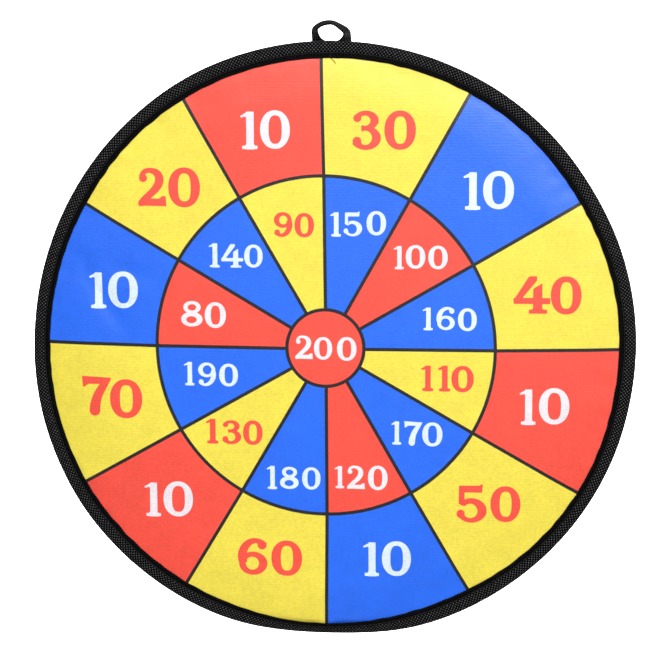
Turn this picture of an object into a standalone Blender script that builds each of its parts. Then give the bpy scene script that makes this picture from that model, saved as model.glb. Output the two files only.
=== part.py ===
"""Magnetic dartboard: a round, cloth-faced, padded target with a bound edge
and a tape loop to hang it by.

Frame: +Z up, the printed face looks along -Y, the wall side along +Y.
Origin: the hanging eye, the highest point inside the loop, where a nail bears.
y = 0 is the outer face of the binding's back lip. Units are metres.
"""
import math

import bmesh
import bpy
from mathutils import Vector

# ---------------------------------------------------------------- dimensions
BOARD_R = 0.180            # outer radius over the binding
BOARD_X = -0.0015          # board centre, sideways from the eye
EYE_ABOVE_RIM = 0.0102     # inside top of the loop above the rim
BOARD_Z = -(BOARD_R + EYE_ABOVE_RIM)

SEGMENTS = 96              # steps round every turned piece
GAP = 0.0003               # clearance between neighbouring layers

TAPE_T = 0.0005            # binding tape thickness
LIP_INNER_R = 0.1705       # where the binding's front and back lips end
FOLD_R = 0.0017            # radius of the binding's outer corners

BACK_CLOTH_T = 0.0005
BACK_PROUD = 0.0003        # the back cloth stands out this far inside the lip
FERROUS_T = 0.0006
FOAM_T = 0.0024            # foam thickness where the binding nips it
FACE_T = 0.0006
CROWN = 0.0018             # how far the padded face stands proud in the middle
CROWN_R0 = 0.146           # crown starts to fall away here
CROWN_R1 = 0.1700          # and has gone here, just inside the binding
STACK_R = BOARD_R - TAPE_T - GAP - 0.0006

SEAM_R = 0.1734            # radius of the row of stitches
THREAD_D = 0.00036

LOOP_W = 0.0085            # loop tape width
LOOP_T = 0.0012            # loop tape thickness, folded double
LOOP_LEG_X = 0.0071        # middle of each sewn leg from the eye
LOOP_END_Z = -0.0153       # lower end of the sewn legs
CREASE_Z = -0.0100         # height of the crease the loop folds on
CREASE_GAP = 0.00015       # half the slot between moving and sewn tape
LOOP_Y0 = GAP + LOOP_T / 2          # middle of the sewn tape
CREASE_Y = GAP + LOOP_T + 0.00015   # crease, on the wall side of the tape

# y of each layer's two faces, from the wall outwards
Y_BACK0 = -(TAPE_T + GAP)
Y_BACK1 = Y_BACK0 - BACK_CLOTH_T
Y_FERR0 = Y_BACK1 - GAP
Y_FERR1 = Y_FERR0 - FERROUS_T
Y_FOAM0 = Y_FERR1 - GAP
Y_FOAM1 = Y_FOAM0 - FOAM_T
Y_FACE0 = Y_FOAM1 - GAP
Y_FACE1 = Y_FACE0 - FACE_T
Y_FRONT = Y_FACE1 - GAP - TAPE_T    # outer face of the front lip

for _ob in list(bpy.data.objects):
    bpy.data.objects.remove(_ob, do_unlink=True)


# ------------------------------------------------------------------- helpers
def material(name, rgb, rough, metal=0.0):
    mat = bpy.data.materials.new(name)
    mat.use_nodes = True
    bsdf = mat.node_tree.nodes["Principled BSDF"]
    bsdf.inputs["Base Color"].default_value = (*rgb, 1.0)
    bsdf.inputs["Roughness"].default_value = rough
    bsdf.inputs["Metallic"].default_value = metal
    mat.diffuse_color = (*rgb, 1.0)
    return mat


def finish(name, bm, mat, origin=(0.0, 0.0, 0.0), parent=None, smooth_deg=35):
    bmesh.ops.recalc_face_normals(bm, faces=bm.faces)
    shift = Vector(origin)
    for v in bm.verts:
        v.co -= shift
    me = bpy.data.meshes.new(name)
    bm.to_mesh(me)
    bm.free()
    me.materials.append(mat)
    me.shade_smooth()
    me.set_sharp_from_angle(angle=math.radians(smooth_deg))
    ob = bpy.data.objects.new(name, me)
    bpy.context.collection.objects.link(ob)
    if parent is not None:
        ob.parent = parent
        ob.matrix_parent_inverse.identity()
        ob.location = shift - parent.location
    else:
        ob.location = shift
    return ob


def empty(name, loc):
    ob = bpy.data.objects.new(name, None)
    ob.empty_display_size = 0.01
    ob.location = loc
    bpy.context.collection.objects.link(ob)
    return ob


def turned(profile, closed):
    """Spin an (r, y) profile once round the board's own axis."""
    bm = bmesh.new()
    verts = [bm.verts.new((BOARD_X + r, y, BOARD_Z)) for r, y in profile]
    edges = [bm.edges.new((a, b)) for a, b in zip(verts, verts[1:])]
    if closed:
        edges.append(bm.edges.new((verts[-1], verts[0])))
    bmesh.ops.spin(bm, geom=verts + edges, cent=(BOARD_X, 0.0, BOARD_Z),
                   axis=(0.0, 1.0, 0.0), angle=2.0 * math.pi,
                   steps=SEGMENTS, use_merge=True, use_duplicate=False)
    bmesh.ops.remove_doubles(bm, verts=bm.verts, dist=2.0e-6)
    bmesh.ops.dissolve_degenerate(bm, dist=1.0e-7, edges=bm.edges)
    return bm


def crown(r):
    """Forward bulge of the padded face at radius r."""
    if r <= CROWN_R0:
        return CROWN * (1.0 - 0.10 * (r / CROWN_R0) ** 2)
    t = min(1.0, (r - CROWN_R0) / (CROWN_R1 - CROWN_R0))
    return CROWN * 0.90 * (1.0 - t * t * (3.0 - 2.0 * t))


CROWN_RADII = [0.0, 0.075, CROWN_R0] + \
    [CROWN_R0 + (CROWN_R1 - CROWN_R0) * k / 4.0 for k in range(1, 5)]


def domed(y_flat):
    """Profile points of a domed layer face, centre to edge."""
    return [(r, y_flat - crown(r)) for r in CROWN_RADII] + [(STACK_R, y_flat)]


def arc(cx, cy, rad, a0, a1, steps):
    return [(cx + rad * math.cos(math.radians(a0 + (a1 - a0) * k / steps)),
             cy + rad * math.sin(math.radians(a0 + (a1 - a0) * k / steps)))
            for k in range(steps + 1)]


def catmull(points, per_span):
    """Smooth curve through the given points."""
    pts = [points[0] * 2 - points[1]] + points + [points[-1] * 2 - points[-2]]
    out = []
    for i in range(1, len(pts) - 2):
        p0, p1, p2, p3 = pts[i - 1:i + 3]
        for k in range(per_span):
            t = k / per_span
            out.append(0.5 * ((2 * p1) + (p2 - p0) * t
                              + (2 * p0 - 5 * p1 + 4 * p2 - p3) * t * t
                              + (3 * p1 - p0 - 3 * p2 + p3) * t ** 3))
    out.append(points[-1].copy())
    return out


def smooth01(t):
    t = max(0.0, min(1.0, t))
    return t * t * (3.0 - 2.0 * t)


# ----------------------------------------------------------------- materials
M_FACE = material("printed_cloth", (0.93, 0.80, 0.09), 0.85)
M_FOAM = material("foam", (0.90, 0.89, 0.84), 0.95)
M_FERR = material("iron_filled_sheet", (0.075, 0.070, 0.068), 0.62)
M_BACK = material("back_cloth", (0.016, 0.016, 0.017), 0.90)
M_TAPE = material("binding_tape", (0.012, 0.012, 0.013), 0.80)
M_THREAD = material("binding_thread", (0.020, 0.020, 0.022), 0.55)
M_BOBBIN = material("bobbin_thread", (0.020, 0.020, 0.022), 0.55)
M_LOOP = material("loop_tape", (0.014, 0.014, 0.015), 0.75)
M_ENDS = material("loop_tape_ends", (0.014, 0.014, 0.015), 0.75)
M_TACK = material("tack_thread", (0.020, 0.020, 0.022), 0.55)

# ------------------------------------------------------- the layers, as discs
finish("back_cloth", turned(
    [(0.0, Y_BACK0 + BACK_PROUD), (LIP_INNER_R - 0.006, Y_BACK0 + BACK_PROUD),
     (LIP_INNER_R - 0.0015, Y_BACK0), (STACK_R, Y_BACK0),
     (STACK_R, Y_BACK1), (0.0, Y_BACK1)],
    closed=False), M_BACK)

finish("ferrous_sheet", turned(
    [(0.0, Y_FERR0), (STACK_R, Y_FERR0), (STACK_R, Y_FERR1), (0.0, Y_FERR1)],
    closed=False), M_FERR)

finish("foam_pad", turned(
    domed(Y_FOAM1) + [(STACK_R, Y_FOAM0), (0.0, Y_FOAM0)],
    closed=False), M_FOAM)

finish("face_cloth", turned(
    domed(Y_FACE1) + list(reversed(domed(Y_FACE0))),
    closed=False), M_FACE)

# ----------------------------------- the binding: one tape folded over the edge
FOLD_CX = BOARD_R - FOLD_R
fold_in = FOLD_R - TAPE_T
outer = ([(LIP_INNER_R, Y_FRONT)]
         + arc(FOLD_CX, Y_FRONT + FOLD_R, FOLD_R, -90, 0, 3)
         + arc(FOLD_CX, -FOLD_R, FOLD_R, 0, 90, 3)
         + [(LIP_INNER_R, 0.0)])
inner = ([(LIP_INNER_R, -TAPE_T)]
         + arc(FOLD_CX, -FOLD_R, fold_in, 90, 0, 3)
         + arc(FOLD_CX, Y_FRONT + FOLD_R, fold_in, 0, -90, 3)
         + [(LIP_INNER_R, Y_FRONT + TAPE_T)])
finish("binding_tape", turned(outer + inner, closed=True), M_TAPE)


# ----------------- the two threads of the lockstitched row, one on each side
def thread_ring(name, y_mid, mat):
    r = THREAD_D / 2.0
    prof = [(SEAM_R + r * math.cos(math.radians(45 + 90 * k)),
             y_mid + r * math.sin(math.radians(45 + 90 * k))) for k in range(4)]
    return finish(name, turned(prof, closed=True), mat, smooth_deg=120)


thread_ring("binding_thread", Y_FRONT - GAP - THREAD_D / 2.0, M_THREAD)
thread_ring("bobbin_thread", GAP + THREAD_D / 2.0, M_BOBBIN)

# --------------------------------------------------------- the hanging loop
# Middle line of the tape as seen from the front, (x, z): the legs rise from
# behind the rim, lean out to the shoulders and close over the top.
LOOP_LINE = [(-0.00715, CREASE_Z + CREASE_GAP), (-0.0079, -0.0084),
             (-0.0086, -0.0070), (-0.0092, -0.0056), (-0.0095, -0.0040),
             (-0.0090, -0.0021), (-0.0070, -0.0006), (-0.0040, 0.0003),
             (-0.0009, 0.0006), (0.0023, 0.0002), (0.0052, -0.0010),
             (0.0077, -0.0027), (0.0092, -0.0046), (0.0093, -0.0062),
             (0.0088, -0.0075), (0.0080, -0.0086),
             (0.0070, CREASE_Z + CREASE_GAP)]
LOOP_LEAN = 0.0021         # how far the top of the loop leans forwards
TWIST_RISE = 0.0024        # height over which the tape does most of its turn

line = catmull([Vector((x, 0.0, z)) for x, z in LOOP_LINE], 3)
for p in line:
    rise = smooth01((p.z - CREASE_Z - 0.0006) / 0.0095)
    p.y = LOOP_Y0 - LOOP_LEAN * rise


def loop_section(i):
    """Four corners of the tape's section at point i of its middle line."""
    p = line[i]
    ahead = line[min(i + 1, len(line) - 1)] - line[max(i - 1, 0)]
    ahead.y = 0.0
    ahead.normalize()
    if i in (0, len(line) - 1):
        ahead = Vector((0.0, 0.0, 1.0 if i == 0 else -1.0))
    side = Vector((-ahead.z, 0.0, ahead.x))      # in the board's plane, outwards
    flat = 1.0 - smooth01((p.z - CREASE_Z - 0.0020) / 0.0050)
    side = side.lerp(Vector((math.copysign(1.0, p.x), 0.0, 0.0)), flat).normalized()
    up = max(0.0, p.z - CREASE_Z - 0.0003)
    turn = math.radians(90.0) * (1.0 - math.exp(-up / TWIST_RISE))
    # the front edge of the tape swings in towards the eye lower down
    across = Vector((0.0, -1.0, 0.0)) * math.sin(turn) - side * math.cos(turn)
    through = ahead.cross(across).normalized()
    w, t = across * (LOOP_W / 2.0), through * (LOOP_T / 2.0)
    return [p - w - t, p + w - t, p + w + t, p - w + t]


hinge_at = (0.0, CREASE_Y, CREASE_Z)
loop_hinge = empty("loop_hinge", hinge_at)

bm = bmesh.new()
rings = [[bm.verts.new(c) for c in loop_section(i)] for i in range(len(line))]
for a, b in zip(rings, rings[1:]):
    for k in range(4):
        bm.faces.new((a[k], a[(k + 1) % 4], b[(k + 1) % 4], b[k]))
bm.faces.new(list(reversed(rings[0])))
bm.faces.new(rings[-1])
# the legs' lower ends slope up at the front, so the loop can fold forwards
for ring in (rings[0], rings[-1]):
    for v in ring:
        if v.co.y < LOOP_Y0:
            v.co.z += 0.0008
finish("hanging_loop", bm, M_LOOP, origin=hinge_at, parent=loop_hinge)


def block(bm, x0, x1, y0, y1, z0, z1):
    made = bmesh.ops.create_cube(bm, size=1.0)["verts"]
    for v in made:
        v.co = Vector((x0 + (v.co.x + 0.5) * (x1 - x0),
                       y0 + (v.co.y + 0.5) * (y1 - y0),
                       z0 + (v.co.z + 0.5) * (z1 - z0)))
    return made


for side, leg in (("left", LOOP_LINE[0][0]), ("right", LOOP_LINE[-1][0])):
    bm = bmesh.new()
    block(bm, leg - LOOP_W / 2, leg + LOOP_W / 2, LOOP_Y0 - LOOP_T / 2,
          LOOP_Y0 + LOOP_T / 2, LOOP_END_Z, CREASE_Z - CREASE_GAP)
    finish("loop_end_" + side, bm, M_ENDS)


# ------------- a zigzag of thread tacks each end to the binding's back lip
TACK_W, TACK_H, TACK_TURNS = 0.0060, 0.0022, 8
TACK_Z = -0.0130


def ribbon(points, width, y0, y1):
    """Flat mitred strip along points in the board's plane."""
    bm = bmesh.new()
    rows = []
    for i, p in enumerate(points):
        a = (p - points[i - 1]).normalized() if i else None
        b = (points[i + 1] - p).normalized() if i + 1 < len(points) else None
        along = ((a or b) + (b or a)).normalized()
        side = Vector((-along.z, 0.0, along.x))
        grow = 1.0 / max(0.5, side.dot(Vector((-(b or a).z, 0.0, (b or a).x))))
        off = side * (width / 2.0 * grow)
        rows.append([bm.verts.new((q.x, y, q.z))
                     for q, y in ((p - off, y0), (p + off, y0),
                                  (p + off, y1), (p - off, y1))])
    for a, b in zip(rows, rows[1:]):
        for k in range(4):
            bm.faces.new((a[k], a[(k + 1) % 4], b[(k + 1) % 4], b[k]))
    bm.faces.new(list(reversed(rows[0])))
    bm.faces.new(rows[-1])
    return bm


y_tack = LOOP_Y0 + LOOP_T / 2 + GAP
for side, leg in (("left", LOOP_LINE[0][0]), ("right", LOOP_LINE[-1][0])):
    zigzag = [Vector((leg + TACK_W * (k / TACK_TURNS - 0.5), 0.0,
                      TACK_Z + TACK_H * (0.5 if k % 2 else -0.5)))
              for k in range(TACK_TURNS + 1)]
    finish("loop_tack_" + side,
           ribbon(zigzag, THREAD_D, y_tack, y_tack + THREAD_D), M_TACK)
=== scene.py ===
import math

import bpy
import numpy as np
from mathutils import Matrix, Vector
from mathutils.bvhtree import BVHTree
from mathutils.geometry import delaunay_2d_cdt
from mathutils.kdtree import KDTree


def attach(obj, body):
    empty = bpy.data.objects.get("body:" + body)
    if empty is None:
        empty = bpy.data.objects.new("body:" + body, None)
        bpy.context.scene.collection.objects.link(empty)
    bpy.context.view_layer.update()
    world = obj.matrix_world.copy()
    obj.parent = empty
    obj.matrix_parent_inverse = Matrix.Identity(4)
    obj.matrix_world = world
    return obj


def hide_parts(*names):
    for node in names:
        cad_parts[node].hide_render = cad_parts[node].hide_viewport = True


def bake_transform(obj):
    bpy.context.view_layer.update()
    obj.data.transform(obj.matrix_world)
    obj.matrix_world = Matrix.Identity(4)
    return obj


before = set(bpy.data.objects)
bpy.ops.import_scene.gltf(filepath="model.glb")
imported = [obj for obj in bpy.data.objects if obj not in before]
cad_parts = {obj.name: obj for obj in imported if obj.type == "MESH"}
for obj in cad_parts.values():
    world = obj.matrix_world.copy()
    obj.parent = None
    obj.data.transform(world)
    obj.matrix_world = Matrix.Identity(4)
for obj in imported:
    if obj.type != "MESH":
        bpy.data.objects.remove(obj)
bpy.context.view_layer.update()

# Everything below is worked out in millimetres. (x, z) are measured from the
# middle of the board, y from the wall side of the binding; the board's middle
# is this far from the hanging eye:
CX, CZ = -1.5, -190.2
TAU = 2.0 * math.pi


# ------------------------------------------------------------------ helpers
def smooth01(t):
    t = np.clip(t, 0.0, 1.0)
    return t * t * (3.0 - 2.0 * t)


def polar(x, z):
    return np.hypot(x, z), np.arctan2(z, x)


def placed(x, y, z):
    """Board coordinates to the row frame, still in millimetres."""
    return np.stack([x + CX, y + 0.0 * x, z + CZ], -1)


def skin(nu, nv, wrap_u, wrap_v, base=0):
    """Quads over a grid of points."""
    iu = np.arange(nu if wrap_u else nu - 1)
    iv = np.arange(nv if wrap_v else nv - 1)
    ju, jv = (iu + 1) % nu, (iv + 1) % nv
    a = iu[:, None] * nv + iv[None, :]
    b = ju[:, None] * nv + iv[None, :]
    c = ju[:, None] * nv + jv[None, :]
    d = iu[:, None] * nv + jv[None, :]
    return np.stack([a, b, c, d], -1).reshape(-1, 4) + base


def signed_volume(co, faces):
    total = 0.0
    for f in faces:
        p = co[f]
        for k in range(1, f.shape[1] - 1):
            total += np.einsum("ij,ij->i", p[:, 0], np.cross(p[:, k], p[:, k + 1])).sum()
    return total / 6.0


def make(name, co, faces, mat, smooth=True, sharp_deg=None):
    """A mesh object from points in millimetres; closed shells face outwards."""
    co = np.ascontiguousarray(co, float)
    faces = [np.asarray(f, np.int32) for f in (faces if isinstance(faces, list) else [faces])]
    if signed_volume(co - co.mean(0), faces) < 0:
        faces = [f[:, ::-1] for f in faces]
    me = bpy.data.meshes.new(name)
    me.vertices.add(len(co))
    me.vertices.foreach_set("co", (co * 0.001).astype(np.float32).ravel())
    loops = np.concatenate([f.ravel() for f in faces]).astype(np.int32)
    sizes = np.concatenate([np.full(len(f), f.shape[1], np.int32) for f in faces])
    starts = np.concatenate([[0], np.cumsum(sizes)[:-1]]).astype(np.int32)
    me.loops.add(len(loops))
    me.loops.foreach_set("vertex_index", loops)
    me.polygons.add(len(sizes))
    me.polygons.foreach_set("loop_start", starts)
    me.update(calc_edges=True)
    me.validate()
    me.polygons.foreach_set("use_smooth", np.full(len(me.polygons), smooth))
    if sharp_deg is not None:
        me.set_sharp_from_angle(angle=math.radians(sharp_deg))
    ob = bpy.data.objects.new(name, me)
    bpy.context.scene.collection.objects.link(ob)
    me.materials.append(mat)
    return ob


def corner_vectors(ob, name, values):
    """A 3-number value on every face corner."""
    at = ob.data.attributes.new(name, "FLOAT_VECTOR", "CORNER")
    at.data.foreach_set("vector", np.asarray(values, np.float32).ravel())


def corner_verts(ob):
    idx = np.zeros(len(ob.data.loops), np.int32)
    ob.data.loops.foreach_get("vertex_index", idx)
    return idx


def wobble(seed, lo, hi, fall=0.0):
    """Seeded smooth random function of the angle, about -1 to 1."""
    rng = np.random.default_rng(seed)
    k = np.arange(lo, hi + 1)
    amp = rng.normal(size=len(k)) * (k / lo) ** (-fall)
    amp /= math.sqrt((amp ** 2).sum() / 2.0) * 1.6
    phase = rng.uniform(0.0, TAU, len(k))

    def f(th):
        th = np.asarray(th, float)
        return (np.cos(th[..., None] * k + phase) * amp).sum(-1)
    return f


def around(table, blur_deg, plus=0.0, off=(0.0, 0.0)):
    """Smooth periodic function of the angle (radians) from values at equal steps
    that start at -180 degrees."""
    n = 1440
    src = np.asarray(table, float) + plus
    step = 360.0 / len(src)
    dense = np.interp(np.arange(n) * 360.0 / n, np.arange(len(src) + 1) * step,
                      np.append(src, src[0]))
    k = np.fft.rfftfreq(n, 1.0 / n)
    dense = np.fft.irfft(np.fft.rfft(dense) * np.exp(-0.5 * (k * math.radians(blur_deg)) ** 2), n)
    dense = np.append(dense, dense[0])

    def f(th):
        r = np.interp((np.degrees(th) + 180.0) % 360.0, np.arange(n + 1) * 360.0 / n, dense)
        return r + off[0] * np.cos(th) + off[1] * np.sin(th)
    return f


# ---------------------------------------------------------------- the rim's run
# Radius of the bound edge, and of the inner edge of the tape on the front,
# every 5 degrees from the left (-180) through the bottom (-90).
RIM_OFF = (0.40, -0.10)                   # the rim lies this far off the print's middle
rim_out = around([
    179.6, 180.1, 180.5, 180.9, 181.1, 181.3, 181.7, 181.8, 181.5, 181.4, 181.1, 180.9,
    180.6, 180.2, 179.7, 178.7, 177.3, 176.4, 175.9, 176.0, 177.0, 178.0, 178.4, 178.4,
    178.6, 178.8, 178.9, 179.2, 179.4, 179.7, 179.8, 180.0, 180.1, 179.9, 179.9, 180.0,
    180.2, 180.3, 180.3, 180.3, 180.3, 180.0, 179.8, 179.8, 180.1, 180.3, 180.3, 180.4,
    180.3, 180.2, 180.2, 180.1, 180.1, 180.1, 180.1, 180.2, 180.2, 180.2, 180.2, 180.3,
    180.1, 179.8, 179.4, 179.2, 179.2, 178.9, 178.9, 178.9, 178.7, 178.9, 179.0, 179.2], 3.5,
    0.42, RIM_OFF)
rim_in = around([
    169.3, 169.6, 170.0, 170.4, 170.4, 170.6, 171.0, 170.9, 170.5, 170.6, 170.4, 170.3,
    170.3, 170.0, 169.7, 169.8, 169.9, 169.8, 169.4, 169.1, 168.7, 168.3, 168.1, 168.0,
    168.1, 168.8, 169.4, 169.8, 170.2, 170.4, 170.6, 170.7, 170.7, 170.5, 170.4, 170.5,
    170.7, 170.9, 171.1, 170.9, 170.6, 170.5, 170.4, 170.3, 170.5, 170.8, 171.0, 170.9,
    170.8, 170.9, 170.6, 170.6, 170.6, 170.5, 170.4, 170.4, 170.4, 170.3, 170.3, 170.2,
    170.0, 169.8, 169.8, 169.5, 169.1, 168.6, 168.4, 168.5, 168.7, 168.6, 168.9, 169.2], 3.0, 0.0, (0.10, -0.10))
EDGE_WAVE = wobble(11, 46, 120, 0.4)      # small irregular waves of the sewn-down edge
EDGE_LIFT = wobble(12, 30, 90, 0.3)
ROLL_WAVE = wobble(13, 14, 70, 0.5)
FOLD_A = 2.1                              # how far the fold rounds over, radially
SEAM_IN = 3.1                             # seam's distance from the tape's inner edge
BACK_IN = 170.5
TAPE_T = 0.5


def deg(th):
    return np.degrees(th)


def curl(th):
    """1 in the middle of the squashed stretch at the bottom, 0 elsewhere."""
    d = (deg(th) + 92.0 + 180.0) % 360.0 - 180.0
    return np.exp(-(d / 13.0) ** 2)


def lip_in(th):
    gather = np.exp(-((deg(th) + 50.0) / 13.0) ** 2)
    return rim_in(th) + (0.15 + 0.30 * gather) * EDGE_WAVE(th)


def seam_r(th):
    return rim_in(th) + SEAM_IN - 0.5 * curl(th)


def lip_front(r, th):
    """Outer face of the tape on the front side."""
    ri, re, c = lip_in(th), rim_out(th) - FOLD_A, curl(th)
    t = np.clip((r - ri) / (re - ri), 0.0, 1.0)
    rs = seam_r(th)
    y = (-6.50 - 0.10 * EDGE_LIFT(th) * (1.0 - t)) * (1 - t) + (-6.30 + 2.0 * c) * t
    s = np.clip((r - rs) / np.maximum(re - rs, 0.5), 0.0, 1.0)
    y = y - (0.42 + 0.07 * ROLL_WAVE(th)) * (1.0 - 0.5 * c) * np.sin(np.pi * s ** 0.8) ** 0.8
    y = y + 0.30 * np.exp(-((r - rs) / 0.72) ** 2)
    return y


def fold_edge(th):
    return -6.30 + 2.0 * curl(th)


# ------------------------------------------------------------------ materials
def principled(name, **sockets):
    m = bpy.data.materials.new(name)
    m.use_nodes = True
    nt = m.node_tree
    b = nt.nodes["Principled BSDF"]
    for k, v in sockets.items():
        b.inputs[k.replace("_", " ")].default_value = v
    return m, nt, b


def N(nt, kind, **props):
    n = nt.nodes.new(kind)
    for k, v in props.items():
        if k.startswith("in_"):
            key = k[3:]
            n.inputs[int(key) if key.isdigit() else key.replace("_", " ")].default_value = v
        else:
            setattr(n, k, v)
    return n


def math_node(nt, op, a, b=None, clamp=False):
    n = nt.nodes.new("ShaderNodeMath")
    n.operation = op
    n.use_clamp = clamp
    for i, v in enumerate((a, b)):
        if v is None:
            continue
        if isinstance(v, (int, float)):
            n.inputs[i].default_value = v
        else:
            nt.links.new(v, n.inputs[i])
    return n.outputs[0]


def noise(nt, vec, scale, detail=2.0, rough=0.5, kind="FBM"):
    n = nt.nodes.new("ShaderNodeTexNoise")
    n.inputs["Scale"].default_value = scale
    n.inputs["Detail"].default_value = detail
    n.inputs["Roughness"].default_value = rough
    nt.links.new(vec, n.inputs["Vector"])
    return n.outputs["Fac"]


def stretched(nt, vec, sx, sy, sz):
    n = nt.nodes.new("ShaderNodeMapping")
    n.inputs["Scale"].default_value = (sx, sy, sz)
    nt.links.new(vec, n.inputs["Vector"])
    return n.outputs["Vector"]


def remap(nt, v, a, b, c, d, smooth=False):
    n = nt.nodes.new("ShaderNodeMapRange")
    if smooth:
        n.interpolation_type = "SMOOTHSTEP"
    for i, x in zip((1, 2, 3, 4), (a, b, c, d)):
        n.inputs[i].default_value = x
    nt.links.new(v, n.inputs[0])
    return n.outputs[0]


def mixed(nt, fac, a, b):
    n = nt.nodes.new("ShaderNodeMix")
    n.data_type = "RGBA"
    for sock, v in ((n.inputs["Factor"], fac), (n.inputs[6], a), (n.inputs[7], b)):
        if isinstance(v, bpy.types.NodeSocket):
            nt.links.new(v, sock)
        elif isinstance(v, (int, float)):
            sock.default_value = v
        else:
            sock.default_value = (*v, 1.0)
    return n.outputs[2]


def times(nt, col, v):
    n = nt.nodes.new("ShaderNodeVectorMath")
    n.operation = "SCALE"
    nt.links.new(col, n.inputs[0])
    nt.links.new(v, n.inputs["Scale"])
    return n.outputs[0]


def bump(nt, bsdf, height, strength, distance):
    n = nt.nodes.new("ShaderNodeBump")
    n.inputs["Strength"].default_value = strength
    n.inputs["Distance"].default_value = distance
    nt.links.new(height, n.inputs["Height"])
    nt.links.new(n.outputs["Normal"], bsdf.inputs["Normal"])


def printed_cloth():
    """Brushed polyester knit, dyed through its own nap."""
    m, nt, b = principled("printed_brushed_cloth", Roughness=0.47, Sheen_Weight=0.05,
                          Sheen_Roughness=0.35)
    b.inputs["Specular IOR Level"].default_value = 0.60
    b.inputs["Sheen Tint"].default_value = (1.0, 1.0, 1.0, 1.0)
    co = N(nt, "ShaderNodeTexCoord").outputs["Object"]
    dye = N(nt, "ShaderNodeAttribute", attribute_name="print").outputs["Color"]
    fibre = noise(nt, stretched(nt, co, 1.0, 1.0, 1.6), 1500.0, 3.0, 0.62)
    nap = noise(nt, co, 620.0, 2.0, 0.55)
    cloud = noise(nt, co, 95.0, 3.0, 0.55)
    broad = noise(nt, co, 17.0, 2.0, 0.5)
    wave = N(nt, "ShaderNodeTexWave", wave_type="BANDS", bands_direction="Z",
             in_Scale=185.0, in_Distortion=1.6, in_Detail=1.0)
    wave.inputs["Detail Scale"].default_value = 2.0
    nt.links.new(co, wave.inputs["Vector"])
    rib = wave.outputs["Fac"]
    tone = math_node(nt, "ADD", remap(nt, fibre, 0.25, 0.75, -0.070, 0.070),
                     remap(nt, nap, 0.3, 0.7, -0.058, 0.058))
    tone = math_node(nt, "ADD", tone, remap(nt, cloud, 0.3, 0.7, -0.038, 0.038))
    tone = math_node(nt, "ADD", tone, remap(nt, broad, 0.3, 0.7, -0.028, 0.028))
    tone = math_node(nt, "ADD", tone, remap(nt, rib, 0.0, 1.0, -0.018, 0.018))
    tone = math_node(nt, "ADD", tone, 1.0)
    col = times(nt, dye, tone)
    # broken fibre ends show a little paler than the dyed ground
    pale = remap(nt, fibre, 0.62, 0.80, 0.0, 0.10)
    col = mixed(nt, pale, col, (0.86, 0.86, 0.88))
    nt.links.new(col, b.inputs["Base Color"])
    rough = math_node(nt, "ADD", remap(nt, nap, 0.3, 0.7, -0.05, 0.06), 0.47)
    nt.links.new(rough, b.inputs["Roughness"])
    h = math_node(nt, "ADD", math_node(nt, "MULTIPLY", fibre, 0.55),
                  math_node(nt, "MULTIPLY", nap, 0.9))
    h = math_node(nt, "ADD", h, math_node(nt, "MULTIPLY", rib, 0.22))
    bump(nt, b, h, 0.45, 0.00022)
    return m


def nonwoven(name, base, dot, pitch_u, pitch_v, dots=1.0, rough=0.62, strength=0.8, sheen=0.05,
             pressed_shaded_to=0.0):
    """Point-bonded nonwoven: tangled fibre with a diamond lattice of pressed dots.
    The strip attribute carries its own length and width in millimetres."""
    m, nt, b = principled(name, Roughness=rough, Sheen_Weight=sheen, Sheen_Roughness=0.4)
    b.inputs["Specular IOR Level"].default_value = 0.02
    at = N(nt, "ShaderNodeAttribute", attribute_name="strip").outputs["Vector"]
    sep = N(nt, "ShaderNodeSeparateXYZ")
    nt.links.new(at, sep.inputs[0])
    jitter = noise(nt, at, 0.35, 1.0, 0.5)
    ju = math_node(nt, "MULTIPLY", math_node(nt, "SUBTRACT", jitter, 0.5), 0.35)
    u = math_node(nt, "ADD", math_node(nt, "MULTIPLY", sep.outputs[0], TAU / pitch_u), ju)
    v = math_node(nt, "ADD", math_node(nt, "MULTIPLY", sep.outputs[1], TAU / pitch_v), ju)
    lattice = math_node(nt, "MULTIPLY", math_node(nt, "COSINE", u), math_node(nt, "COSINE", v))
    spot = remap(nt, lattice, 0.24, 0.80, 0.0, 1.0, smooth=True)
    fibre = noise(nt, stretched(nt, at, 1.0, 2.2, 1.0), 2.6, 3.0, 0.65)
    fleck = noise(nt, at, 0.8, 3.0, 0.6)
    seen = math_node(nt, "MULTIPLY", spot, remap(nt, fleck, 0.32, 0.68, 0.35 * dots, 1.0 * dots))
    if pressed_shaded_to:                            # crushed flat along the sewn edge, and painted shade where the tape turns down to the seam: the dots fade there
        free = remap(nt, sep.outputs[1], pressed_shaded_to - 0.5, pressed_shaded_to + 0.8, 0.0, 1.0, smooth=True)
        edge = remap(nt, sep.outputs[1], 1.2, 0.4, 0.0, 0.45, smooth=True)
        keep = math_node(nt, "MAXIMUM", math_node(nt, "MAXIMUM", free, edge), 0.10)
        seen = math_node(nt, "MULTIPLY", seen, keep)
    # lighter dots: the bonded lattice pattern, plus painted sheen standing in for the gloss of the shinier bond
    # points
    col = mixed(nt, seen, base, dot)
    col = times(nt, col, remap(nt, fibre, 0.3, 0.7, 0.72, 1.28))
    nt.links.new(col, b.inputs["Base Color"])
    nt.links.new(remap(nt, spot, 0.0, 1.0, rough + 0.10, rough - 0.14), b.inputs["Roughness"])
    h = math_node(nt, "SUBTRACT", math_node(nt, "MULTIPLY", fibre, 0.5),
                  math_node(nt, "MULTIPLY", spot, 0.9))
    bump(nt, b, h, strength, 0.00018)
    return m


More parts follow.
